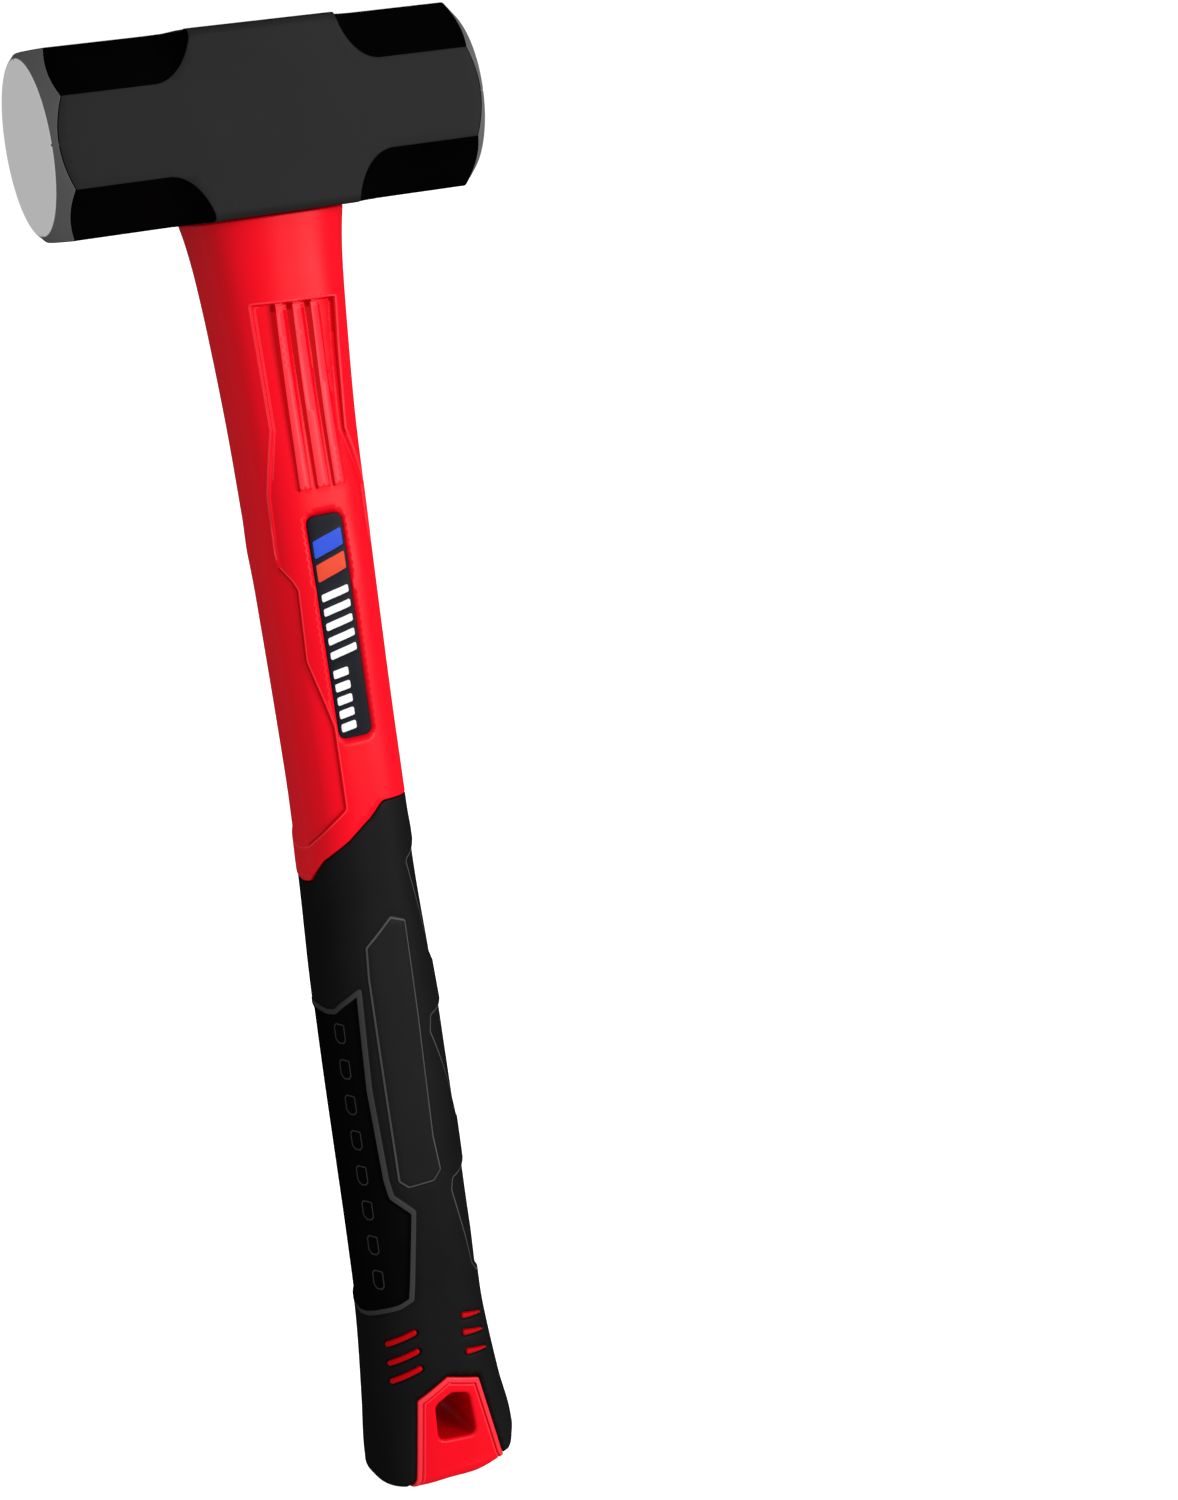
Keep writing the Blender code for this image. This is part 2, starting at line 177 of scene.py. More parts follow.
CORNER_STEPS = 5  # runs in a rounded corner


def soften(outline, radius):
    """Outline with each corner rounded to a radius, or as near to it as its sides allow."""
    made, n = [], len(outline)
    for i in range(n):
        before, here, after = (np.array(outline[(i + k) % n], float) for k in (-1, 0, 1))
        a, b = before - here, after - here
        la, lb = np.linalg.norm(a), np.linalg.norm(b)
        a, b = a / la, b / lb
        half = math.acos(float(np.clip(a @ b, -1, 1))) / 2
        cut = min(radius / max(math.tan(half), 1e-3), 0.45 * la, 0.45 * lb)
        for k in range(CORNER_STEPS + 1):
            w = k / CORNER_STEPS
            rounded = (1 - w) ** 2 * (here + a * cut) + 2 * w * (1 - w) * here + w * w * (here + b * cut)
            made.append(tuple(rounded))
    return made


def turning(a):
    """Positive for an outline that runs anticlockwise, and negative for one that runs clockwise."""
    return (a[:, 0] * np.roll(a[:, 1], -1) - np.roll(a[:, 0], -1) * a[:, 1]).sum()


def offset(outline, by):
    """Closed outline moved outwards by a distance."""
    a = np.array(outline, float)
    turn = np.sign(turning(a))
    before, after = a - np.roll(a, 1, axis=0), np.roll(a, -1, axis=0) - a
    before, after = unit(before), unit(after)
    na = np.stack([before[:, 1], -before[:, 0]], -1) * turn
    nb = np.stack([after[:, 1], -after[:, 0]], -1) * turn
    grow = (na + nb) / np.maximum(0.35, 1 + (na * nb).sum(1, keepdims=True))
    return [tuple(p) for p in a + grow * by]


def turned(outline, way):
    """The outline running anticlockwise for a way of 1, or clockwise for -1."""
    return list(outline) if turning(np.array(outline, float)) * way > 0 else list(outline)[::-1]


def moved(line, by):
    """The line moved up the drawing."""
    return [(s, t + by) for s, t in line]


def divide(points, spacing, closed=True):
    """Points along a line of straight runs, no further apart than spacing."""
    points = [np.array(p, float) for p in points]
    made = []
    for a, b in zip(points, points[1:] + (points[:1] if closed else [])):
        count = max(1, math.ceil(np.linalg.norm(b - a) / spacing))
        made += [a + (b - a) * k / count for k in range(count)]
    return made + ([] if closed else [points[-1]])


CREASE_CLEAR = 0.06  # a crease stops this far from an outer edge


def well_inside(domain, holes, points, margin):
    """Which points lie within an outline and clear of its holes, by more than a margin."""
    keep = inside_depth(domain, points[:, 0], points[:, 1]) > margin
    for hole in holes:
        keep &= inside_depth(hole, points[:, 0], points[:, 1]) < -margin
    return keep


def mesh_flat(domain, holes, outlines, lines, spacing, crease_spacing=0.5):
    """Triangles over a closed outline in the drawing, with holes, and with edges along other outlines and
    lines. Returns points, faces and, for the outline and each hole, the loop of its point numbers."""
    loops = [divide(turned(domain, 1), crease_spacing)]
    loops += [divide(turned(hole, -1), crease_spacing) for hole in holes]
    points, edges = [], []
    for loop in loops:
        first = len(points)
        points += loop
        edges += [(first + k, first + (k + 1) % len(loop)) for k in range(len(loop))]
    edge_points = np.array(points)
    for crease, closed in [(o, True) for o in outlines] + [(o, False) for o in lines]:
        run = np.array(divide(crease, crease_spacing, closed))
        gap = np.sqrt(((run[:, None] - edge_points[None]) ** 2).sum(-1)).min(1)
        keep = well_inside(domain, holes, run, CREASE_CLEAR) & (gap > CREASE_CLEAR)
        numbers = np.cumsum(keep) - 1 + len(points)
        points += list(run[keep])
        following = [(k + 1) % len(run) for k in range(len(run) if closed else len(run) - 1)]
        edges += [(numbers[k], numbers[m]) for k, m in enumerate(following) if keep[k] and keep[m]]
    fixed = np.array(points)
    low, high = fixed.min(0), fixed.max(0)
    grid_t, grid_s = np.meshgrid(np.arange(low[1] + spacing / 2, high[1], spacing * 0.87),
                                 np.arange(low[0] + spacing / 2, high[0], spacing), indexing="ij")
    grid_s = grid_s + (np.arange(len(grid_s)) % 2)[:, None] * spacing / 2
    lattice = np.stack([grid_s.ravel(), grid_t.ravel()], -1)
    lattice = lattice[well_inside(domain, holes, lattice, 0.3 * spacing)]
    # A point of the lattice next to an edge is left out
    cell = 0.5 * spacing
    taken = {(int(p[0] // cell), int(p[1] // cell)) for p in fixed}
    near = [any((int(p[0] // cell) + i, int(p[1] // cell) + j) in taken
                for i in (-1, 0, 1) for j in (-1, 0, 1)) for p in lattice]
    lattice = lattice[~np.array(near, bool)]
    everything = [Vector((float(p[0]), float(p[1]))) for p in [*points, *lattice]]
    edges = [(int(a), int(b)) for a, b in edges]
    verts, _, faces, origins, *_ = delaunay_2d_cdt(everything, edges, [], 0, 1e-5)
    flat = np.array([tuple(v) for v in verts])
    faces = np.array(faces, int)
    faces = faces[well_inside(domain, holes, flat[faces].mean(1), 0)]
    place = {}
    for new, old in enumerate(origins):
        for one in old:
            place[one] = new
    ends, start = [], 0
    for loop in loops:
        ends.append([place[start + k] for k in range(len(loop))])
        start += len(loop)
    return flat, faces, ends


# ---- building closed pieces
def surface_of(base, relief):
    """The base surface, moved outwards by the relief."""
    def surface(s, t):
        return base(s, t) + outward(s, t, base) * relief(s, t)[..., None]
    return surface


WALL_ROWS = 9  # rows of points down an edge that runs through to the back


def half_piece(base, folded, drawing, relief, paint, wall=None):
    """Front half of a piece, from its drawn outside. folded(s, t) says which points lie on the plane between
    front and back. With a wall, an inner face lies that deep. Without one, the edges run straight through to
    the back and are painted number 1, which paints shade on them. Returns points, faces, face numbers,
    normals and whether the edges run through. A normal that is left at zero is worked out later."""
    flat, faces, loops = mesh_flat(**drawing)
    s, t = flat[:, 0], flat[:, 1]
    fold = folded(s, t)
    surface = surface_of(base, relief)
    top, normal = surface(s, t), outward(s, t, surface, 0.03)
    top[fold, 1] = 0
    normal[fold, 1] = 0
    normal = unit(normal)
    centre = flat[faces].mean(1)
    points, made, normals = list(top), [tuple(f) for f in faces], list(normal)
    numbers = list(paint(centre[:, 0], centre[:, 1]))
    rows = 2
    if wall is None:
        rows = WALL_ROWS
        below = [top[loop] * (1, -1, 1) for loop in loops]
    else:
        rims = [[tuple(p) for p in flat[loop]] for loop in loops]
        under, under_faces, under_loops = mesh_flat(rims[0], rims[1:], [], [], 5.0, 50.0)
        under_points = base(under[:, 0], under[:, 1]) - outward(under[:, 0], under[:, 1], base) * wall
        under_points[folded(under[:, 0], under[:, 1]), 1] = 0
        made += [tuple(f[::-1] + len(points)) for f in under_faces]
        points += list(under_points)
        normals += [np.zeros(3)] * len(under_points)
        numbers += [0] * len(under_faces)
        below = [under_points[loop] for loop in under_loops]
    # The edges have points of their own, so that they stay crisp
    for loop, low in zip(loops, below):
        n, first = len(loop), len(points)
        for row in range(rows):
            points += list(top[loop] + (low - top[loop]) * row / (rows - 1))
        normals += [np.zeros(3)] * (rows * n)
        for upper in range(first, first + (rows - 1) * n, n):
            for k in range(n):
                m = (k + 1) % n
                if not (fold[loop[k]] and fold[loop[m]]):
                    made.append((upper + k, upper + n + k, upper + n + m, upper + m))
                    # Walls that run right through take number 1, painted shade
                    numbers.append(1 if wall is None else 0)
    return np.array(points), made, numbers, np.array(normals), wall is None


def new_object(name, data):
    made = bpy.data.objects.new(name, data)
    bpy.context.scene.collection.objects.link(made)
    return made


def make_piece(name, points, faces, numbers, normals, looks):
    """The object itself. Blender works out a normal that is zero."""
    mesh = bpy.data.meshes.new(name)
    mesh.from_pydata([tuple(p) for p in points * MM], [], faces)
    for look in looks:
        mesh.materials.append(materials[look])
    mesh.polygons.foreach_set("material_index", np.array(numbers, np.int32))
    mesh.polygons.foreach_set("use_smooth", [True] * len(mesh.polygons))
    mesh.update()
    own = np.array([tuple(n.vector) for n in mesh.vertex_normals])
    unset = np.linalg.norm(normals, axis=1) < 0.5
    normals[unset] = own[unset]
    mesh.normals_split_custom_set_from_vertices([tuple(n) for n in normals])
    piece = new_object(name, mesh)
    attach(piece, "root")
    return piece


def add_piece(name, halves, looks):
    """One object from front halves and their mirror images."""
    points, faces, numbers, normals = [], [], [], []
    for half_points, half_faces, half_numbers, half_normals, through in halves:
        for sign in (1, -1):
            first = len(points)
            points += list(half_points * (1, sign, 1))
            normals += list(half_normals * (1, sign, 1))
            for face, number in zip(half_faces, half_numbers):
                # Walls that run right through are made once, with the front half
                if through and sign == -1 and len(face) == 4:
                    continue
                faces.append(tuple(int(first + i) for i in (face if sign == 1 else face[::-1])))
                numbers.append(number)
    return make_piece(name, np.array(points), faces, numbers, np.array(normals), looks)


def roll(depth, radius):
    """How far a surface falls away at a rounded edge, by the distance in from that edge."""
    d = np.clip(depth, 0, radius)
    return radius - np.sqrt(np.maximum(radius**2 - (radius - d) ** 2, 0))


def ridge(depth, middle, half):
    """1 at a distance from an edge, falling smoothly to 0 at half on either side of it."""
    return ease(1 - np.abs(depth - middle) / half)


# ---- materials
def shader(name):
    made = bpy.data.materials.new(name)
    made.use_nodes = True
    return made, made.node_tree, made.node_tree.nodes["Principled BSDF"]


def add_node(tree, kind, inputs=(), **settings):
    """A node, with its inputs given as values or as sockets to link from."""
    made = tree.nodes.new("ShaderNode" + kind)
    for key, value in settings.items():
        setattr(made, key, value)
    for key, value in dict(inputs).items():
        if isinstance(value, bpy.types.NodeSocket):
            tree.links.new(value, made.inputs[key])
        else:
            made.inputs[key].default_value = value
    return made


def ramp(tree, source, stops):
    made = add_node(tree, "ValToRGB", {"Fac": source})
    while len(made.color_ramp.elements) < len(stops):
        made.color_ramp.elements.new(0.5)
    for element, (place, colour) in zip(made.color_ramp.elements, stops):
        element.position = place
        element.color = (*colour, 1)
    return made.outputs["Color"]


def grey(level):
    return level, level, level


def finish_material(name, colour, varied, roughness, specular, grain, bump):
    """Colour that drifts gently towards another, a roughness that drifts too, and a fine grain for the bump.
    grain is the size of the grain in millimetres, bump its height in millimetres."""
    made, tree, principled = shader(name)
    where = add_node(tree, "TexCoord").outputs["Object"]
    broad = add_node(tree, "TexNoise", {"Vector": where, "Scale": 45.0, "Detail": 4.0}).outputs["Fac"]
    fine = add_node(tree, "TexNoise", {"Vector": where, "Scale": 1000 / grain, "Detail": 2.0}).outputs["Fac"]
    tree.links.new(ramp(tree, broad, [(0.35, colour), (0.68, varied)]), principled.inputs["Base Color"])
    rough = add_node(tree, "MapRange", {"Value": broad, "From Min": 0.3, "From Max": 0.7,
                                        "To Min": roughness - 0.04, "To Max": roughness + 0.05})
    tree.links.new(rough.outputs["Result"], principled.inputs["Roughness"])
    raised = add_node(tree, "Bump", {"Height": fine, "Strength": 1.0, "Distance": bump * MM})
    tree.links.new(raised.outputs["Normal"], principled.inputs["Normal"])
    principled.inputs["Specular IOR Level"].default_value = specular
    return made


# Colour, the colour it drifts to, roughness, specular level, size of the grain and its height
LOOKS = {
    "red_plastic": ((0.96, 0.0, 0.013), (0.93, 0.0, 0.011), 0.34, 0.15, 0.5, 0.003),
    # A darker red, painted as shade on walls, in the block's groove, on the bars and inside the hang hole
    "red_painted_shade": ((0.62, 0.0, 0.003), (0.58, 0.0, 0.003), 0.4, 0.05, 0.5, 0.003),
    # A lighter, pinker red, painted as highlights on the ribs' tops, the block's band and the fine edge lines
    "red_painted_highlight": ((1.0, 0.035, 0.055), (0.98, 0.027, 0.045), 0.36, 0.22, 0.5, 0.003),
    "black_rubber": (grey(0.008), grey(0.0098), 0.5, 0.08, 0.35, 0.015),
    "pad_rubber": (grey(0.0022), grey(0.003), 0.6, 0.02, 0.4, 0.02),
    # A lighter grey, painted as a highlight on the side pad's rim and the pits' rims
    "rim_painted_highlight": ((0.045, 0.046, 0.047), (0.038, 0.039, 0.04), 0.5, 0.1, 0.35, 0.01),
    # A light grey, painted as a highlight along the thin lines round the long pad and the scallops
    "thin_line_painted_highlight": ((0.085, 0.087, 0.088), (0.07, 0.072, 0.073), 0.5, 0.1, 0.35, 0.01),
    "long_rubber": (grey(0.0115), grey(0.013), 0.5, 0.08, 0.35, 0.01),
    "label_ground": ((0.006, 0.007, 0.012), (0.01, 0.011, 0.018), 0.4, 0.1, 0.3, 0.002),
    "label_white": (grey(0.95), (0.9, 0.9, 0.91), 0.4, 0.1, 0.3, 0.002),
    "label_blue": ((0.025, 0.085, 0.72), (0.035, 0.1, 0.66), 0.4, 0.1, 0.3, 0.002),
    "label_orange": ((0.85, 0.075, 0.03), (0.78, 0.06, 0.025), 0.4, 0.1, 0.3, 0.002),
    "head_paint": (grey(0.0175), grey(0.021), 0.5, 0.05, 0.6, 0.005),
    # Near black, painted as shade on the long chamfers
    "chamfer_painted_shade": (grey(0.0006), grey(0.0014), 0.45, 0.02, 0.6, 0.005),
    "head_cone": (grey(0.13), grey(0.142), 0.5, 0.1, 0.6, 0.005),
    # Bare steel, with a near-white diffuse colour that paints in the brightness its reflection would give
    "bare_steel_painted_reflection": (grey(1.0), grey(0.97), 0.45, 0.5, 0.5, 0.003),
    "fibreglass": ((0.62, 0.52, 0.28), (0.45, 0.36, 0.18), 0.5, 0.4, 0.4, 0.02),
    "epoxy": ((0.02, 0.02, 0.022), (0.035, 0.034, 0.034), 0.25, 0.5, 1.5, 0.03),
}
materials = {name: finish_material(name, *look) for name, look in LOOKS.items()}


# ---- jacket
def on_sides(s, t):
    return np.abs(s) > SIDE - TINY


def to_skin(x, t):
    """Drawn place (s, t) on the handle's outside of the point that block_point draws at (x, t)."""
    psi = under_turn(t)
    z = max(t, ROUND_FROM) if psi == 0 else ROUND_FROM
    for _ in range(4):
        square = float(smooth_table(SQUARE, z))
        share = min(1, abs((x - float(smooth_table(SHIFT, z))) / float(smooth_table(HALF_X, z))) ** square)
        drop = ROUND_FROM * ((1 - share) * math.sin(psi) ** 2) ** (1 / ROUND_POWER)
        z = max(t, ROUND_FROM) - drop
    sine = math.sqrt(max(0, 1 - share)) * math.sin(psi)
    psi_skin = math.asin(min(1, sine))
    cosine = math.sqrt(share) / max(math.cos(psi_skin), TINY)
    turn = -math.acos(float(np.clip(math.copysign(cosine, x - float(smooth_table(SHIFT, z))), -1, 1)))
    s = float(np.interp(turn, turn_table, run_table))
    return s, (ROUND_FROM - psi_skin / (math.pi / 2) * ROUND_RUN if psi > 0 else t)


GAP = 0.15  # left by each piece at a joint between two
SEAM_LINE = [(-SIDE, 167.4), (-20.2, 168.2), (-14.4, 173.8), (-6.2, 178.4), (0.25, 183.1), (4.3, 187.0),
             (16.7, 186.6), (SIDE, 186.6)]
# Outlines that cross a side go on past it, so that only their real edges count in a distance
PAST = SIDE + 20


# Only the inner corners are rounded, as the line is open
seam = [SEAM_LINE[0], *soften(SEAM_LINE, 3.0)[CORNER_STEPS + 1:-CORNER_STEPS - 1], SEAM_LINE[-1]]
jacket_seam, grip_seam = moved(seam, GAP), moved(seam, -GAP)
jacket_outline = [*jacket_seam, (SIDE, JACKET_TOP), (-SIDE, JACKET_TOP)]

RIB_FOOT, RIB_HEAD = 268.0, 315.0
RIB_PANEL = soften([(-9.9, 315.0), (10.1, 314.2), (9.5, 303), (9.3, 291), (8.95, 281.7), (14.5, 267),
                    (14.4, 255), (13.6, 243), (-13.2, 243), (-14.1, 254), (-13.6, 268), (-9.8, 284)], 0.6)
# Left foot of each rib's wall, at the top and at the bottom
RIBS = [(-5.2, -5.15), (-1.45, -0.65), (2.45, 3.55)]
# Across a rib, at the top and at the bottom: its wall, its top, a step down, and the step's end
RIB_PROFILE = [(0, 0), (0.85, 0.3), (2.35, 2.9), (2.5, 3.05), (3.4, 3.4), (3.6, 3.7)]
SIDE_PANEL = soften([(-PAST, 262), (-14.6, 262), (-14.1, 250.5), (-10.6, 246.4), (-9.4, 244), (-10.2, 225.8),
                     (-6.9, 214.3), (-5.4, 208.3), (-5.5, 186.7), (-13.7, 180.9), (-19, 177.5),
                     (-SIDE, 176.5), (-PAST, 176.5)], 1.6)
LABEL_LOW, LABEL_HIGH, LABEL_HALF, LABEL_CORNER = 204.6, 261.7, 4.6, 2.5
LABEL_RECESS = soften([(-LABEL_HALF, LABEL_LOW), (LABEL_HALF, LABEL_LOW), (LABEL_HALF, LABEL_HIGH),
                       (-LABEL_HALF, LABEL_HIGH)], LABEL_CORNER)
PANEL_WALL, PANEL_LIP = 0.8, 0.22  # run of the rib panel's wall, and height of the lip round it
SIDE_RECESS, SIDE_BULGE = 0.8, 0.6
LABEL_RECESS_DEPTH, LABEL_WALL = 0.55, 0.12


def rib_panel_depth(s, t):
    deep = 0.6 * ease((t - 243) / 20) + 1.1 * ease((t - 262) / 40)
    return deep * (1 + 0.02 * np.clip(s, -10, 10))


def rib_share(t):
    """How far up the ribs a height is, from 0 to 1."""
    return np.clip((t - RIB_FOOT) / (RIB_HEAD - RIB_FOOT), 0, 1)


def rib_height(s, t):
    """Height over the panel's floor: each rib rises at its left, and falls in two steps to its right."""
    share = rib_share(t)
    tall = 0.7 + 1.2 * share
    height = np.zeros_like(s)
    for top_s, foot_s in RIBS:
        across = s - (foot_s + (top_s - foot_s) * share)
        wall, flat, step, step_end, foot = (p[1] + (p[0] - p[1]) * share for p in RIB_PROFILE[1:])
        rise = ease(across / wall)
        fall = 0.5 * ease((across - flat) / (step - flat))
        second = 0.5 * ease((across - step_end) / (foot - step_end))
        second = second + ease((t - (RIB_HEAD - 2.2)) / 0.4) * 0.5
        fall = np.where(across > step, np.maximum(fall, np.minimum(1, 0.5 + second)), fall)
        height = np.maximum(height, tall * (rise - fall))
    ends = ease((t - RIB_FOOT) / 0.6) * ease((RIB_HEAD - 0.4 - t) / 0.6)
    return height * ends


def jacket_relief(s, t):
    panel = inside_depth(RIB_PANEL, s, t)
    deep = rib_panel_depth(s, t)
    relief = -deep * ease(panel / PANEL_WALL) + rib_height(s, t) * (panel > 0)
    relief += PANEL_LIP * ridge(panel, -0.4, 0.4) * ease((t - 246) / 8)
    # The recess is deepest at its right wall, and the whole side stands a little proud
    deepest = 0.25 + 0.75 * ease((s + SIDE - 3) / 9)
    relief -= SIDE_RECESS * ease((258 - t) / 16) * ease(inside_depth(SIDE_PANEL, s, t) / 1.7) * deepest
    relief += SIDE_BULGE * ease((-13 - s) / 9) * ease((262 - t) / 10) * ease((t - 164) / 6)
    label = inside_depth(LABEL_RECESS, s, t)
    relief -= LABEL_RECESS_DEPTH * ease((label + LABEL_WALL) / LABEL_WALL)
    edge = inside_depth([*seam, (SIDE + 9, 190), (SIDE + 9, 400), (-SIDE - 9, 400), (-SIDE - 9, 168)], s, t)
    relief -= roll(edge - GAP, 0.2)
    relief -= roll(JACKET_TOP - t, 0.5)
    return relief


def jacket_paint(s, t):
    """0 for plain red, 1 for painted shade on the walls, 2 for a painted highlight on the ribs' tops and the
    fine lines.
    """
    number = np.zeros(len(s), int)
    side = inside_depth(SIDE_PANEL, s, t)
    low = t < 250
    # Painted shade on the side recess's wall, and a painted highlight along its edge
    number[low & (side > 0.1) & (side < 0.75) & (s > -19)] = 1
    number[low & (side > -0.3) & (side <= 0)] = 2
    panel = inside_depth(RIB_PANEL, s, t)
    # A painted highlight along the rib panel's edge and inside its left edge, and painted shade on its right
    # wall
    number[(t > 252) & (panel > -0.4) & (panel < 0)] = 2
    share = rib_share(t)
    number[(t > 272) & (panel > 0.8) & (panel < 1.1) & (s < -8)] = 2
    number[(t > 280) & (panel > 0) & (panel < 0.1 + 0.5 * share) & (s > 7)] = 1
    ribbed = (t > RIB_FOOT) & (t < RIB_HEAD - 0.7)
    for top_s, foot_s in RIBS:
        across = s - (foot_s + (top_s - foot_s) * share)
        wall, flat = (p[1] + (p[0] - p[1]) * share for p in RIB_PROFILE[1:3])
        # Painted shade on each rib's wall, and a painted highlight on its top
        number[ribbed & (across > 0) & (across < wall)] = 1
        number[ribbed & (across > wall) & (across < flat) & (share > 0.02)] = 2
    return number


def rib_lines():
    """Creases along the ribs and across their ends."""
    for top_s, foot_s in RIBS:
        for at_top, at_foot in RIB_PROFILE:
            yield [(foot_s + at_foot, RIB_FOOT), (top_s + at_top, RIB_HEAD)]
    for t in (RIB_FOOT, RIB_FOOT + 0.6, RIB_HEAD - 1.0, RIB_HEAD - 0.4, RIB_HEAD - 2.2, RIB_HEAD - 1.8):
        yield [(RIBS[0][1] + 0.2, t), (8.3, t)]


jacket_drawing = {
    "domain": jacket_outline, "holes": [],
    "outlines": [*(offset(RIB_PANEL, by) for by in (0.85, 0.4, 0, -0.35, -0.8, -1.1)),
                 LABEL_RECESS, offset(LABEL_RECESS, LABEL_WALL),
                 *(offset(SIDE_PANEL, by) for by in (0.3, 0, -0.1, -0.75, -1.7))],
    "lines": [*rib_lines(), *(moved(jacket_seam, by) for by in (0.06, 0.2)),
              *([(-SIDE, JACKET_TOP - by), (SIDE, JACKET_TOP - by)] for by in (0.1, 0.25, 0.5))],
    "spacing": 1.1,
}

# ---- butt block, in x and drawn height
BUTT_UNDER = ROUND_FROM - ROUND_RUN  # drawn height of the middle of the underside
WINDOW_FEET = (-14.9, 12.4)
WINDOW = soften([(WINDOW_FEET[0], BUTT_UNDER - 9), (WINDOW_FEET[0], -8), (-14.6, -1.5), (-10.6, 25.3),
                 (-1.6, 29.7), (7.6, 26.6), (11.2, 4.6), (12.2, -3), (WINDOW_FEET[1], -8),
                 (WINDOW_FEET[1], BUTT_UNDER - 9)], 0.9)
BLOCK_EDGE_LINE = offset(WINDOW, -GAP)
HANG_HOLE = soften([(-5.9, 22.6), (-0.9, 24.8), (4.0, 23.3), (4.7, 11.2), (-6.4, 12.6)], 2.2)
BAND_EDGE, GROOVE_EDGE = 1.25, 1.55  # from the block's edge: where its band ends, and the groove inside it


def window_edge(grow):
    """The window in the grip, from its left foot over the top to its right foot, grown by a distance."""
    edge = [p for p in offset(WINDOW, grow) if p[1] > BUTT_UNDER]
    return [(WINDOW_FEET[0] - grow, BUTT_UNDER), *edge, (WINDOW_FEET[1] + grow, BUTT_UNDER)]


def block_point(x, t):
    """Points of the butt's outside, by x and the drawn height."""
    psi = under_turn(t)
    height = np.maximum(t, ROUND_FROM)
    z = height
    for _ in range(4):
        square = smooth_table(SQUARE, z)
        left = np.maximum(1 - np.abs((x - smooth_table(SHIFT, z)) / smooth_table(HALF_X, z)) ** square, 0)
        z = height - ROUND_FROM * (left * np.sin(psi) ** 2) ** (1 / ROUND_POWER)
    y = -smooth_table(HALF_Y, z) * (left * np.cos(psi) ** 2) ** (1 / square)
    tilt = BUTT_TILT * (x - smooth_table(SHIFT, z) - TILT_MIDDLE) * np.clip(1 - z / TILT_TOP, 0, None)
    return np.stack([x + 0 * y, y, z + tilt], -1)


def fuller(across, t):
    """The butt's lower edge is fuller than a plain rounding, but is cut back at the right corner."""
    middle = (0.5 + 0.6 * ease(1 - np.abs(across - 3) / 9)) * ridge(t, -3.0, 8.5)
    corner = 0.4 * ridge(t, 14.0, 10.0) - 1.8 * ridge(t, 0.0, 8.0)
    share = ease((across - 11) / 8)
    return middle * (1 - share) + corner * share


def block_relief(x, t):
    edge = inside_depth(BLOCK_EDGE_LINE, x, t)
    hole = -inside_depth(HANG_HOLE, x, t)
    relief = 0.1 + fuller(x, t) - roll(edge, 0.35) - 0.4 * ridge(edge, GROOVE_EDGE, 0.3)
    relief = relief - 0.12 * ease((edge - 1.5) / 0.3)
    return relief - roll(hole, 0.9)


def block_paint(x, t):
    """0 for plain red, 1 for painted shade in the groove, 2 for a painted highlight on the band and on a line
    inside the groove.
    """
    edge = inside_depth(BLOCK_EDGE_LINE, x, t)
    number = np.where((edge < BAND_EDGE) | ((edge > 1.85) & (edge < 2.15)), 2, 0)
    return np.where((edge > BAND_EDGE) & (edge < GROOVE_EDGE), 1, number)


def under_fold(x, t):
    return t < BUTT_UNDER + TINY


block_drawing = {
    "domain": window_edge(-GAP), "holes": [HANG_HOLE],
    "outlines": [offset(WINDOW, -GAP - by) for by in (0.12, 0.35, BAND_EDGE, GROOVE_EDGE, 1.85, 2.15)]
                + [offset(HANG_HOLE, by) for by in (0.15, 0.4, 0.9)],
    "lines": [], "spacing": 0.9,
}


# ---- grip
LONG_PAD = soften([(2.3, 156.8), (6.6, 155.0), (6.4, 129), (5.6, 96), (6.4, 86.5), (4.0, 84.0), (-3.3, 84.0),
                   (-5.7, 86.3), (-5.9, 116.4), (-6.15, 142), (-5.7, 150.2)], 0.8)
SIDE_PAD = soften([(-PAST, 134.3), (-SIDE, 134.3), (-19.8, 134.1), (-16.4, 134.4), (-14.2, 136.1),
                   (-8.15, 140.2), (-8.9, 112.4), (-8.0, 87.4), (-7.3, 82.8), (-2.2, 77.3), (-5.1, 58.2),
                   (-6.0, 53.0), (-9.45, 51.3), (-13.9, 50.3), (-19.8, 48.6), (-SIDE, 47.7),
                   (-PAST, 47.7)], 1.0)
SCALLOPS = [soften(outline, 1.6) for outline in (
    [(PAST, 175.0), (SIDE, 175.0), (16.8, 173.4), (9.6, 170.2), (12.3, 157.5), (14.7, 143.6), (17.4, 140.4),
     (SIDE, 139), (PAST, 139)],
    [(PAST, 130.2), (SIDE, 130.2), (17.2, 129), (10.2, 128), (9.2, 123.5), (17.6, 97.0), (SIDE, 93.5),
     (PAST, 93.5)],
    [(PAST, 86), (SIDE, 86), (17.2, 84.3), (9.6, 83.0), (8.7, 79.6), (11.45, 65.2), (12.6, 57.2),
     (15.0, 54.2), (SIDE, 52.5), (PAST, 52.5)])]
PIT_COUNT, PIT_HALF, PIT_CORNER = 8, 1.7, 0.6
PIT_TOP, PIT_STEP = (-16.0, 127.7), (0.17, 9.74)  # the first pit's middle, and from one pit to the next
RIM = 1.3  # width of the side pad's rim


def pit_outline(k):
    s = PIT_TOP[0] + PIT_STEP[0] * k
    t = PIT_TOP[1] - PIT_STEP[1] * k
    return soften([(s - PIT_HALF, t - 1.5), (s - PIT_HALF, t + 1.9), (s - 0.9, t + 2.8),
                   (s + PIT_HALF, t + 2.4), (s + PIT_HALF, t - 1.9), (s + 0.9, t - 2.8), (s - 0.7, t - 2.7)],
                  PIT_CORNER)


PITS = [pit_outline(k) for k in range(PIT_COUNT)]
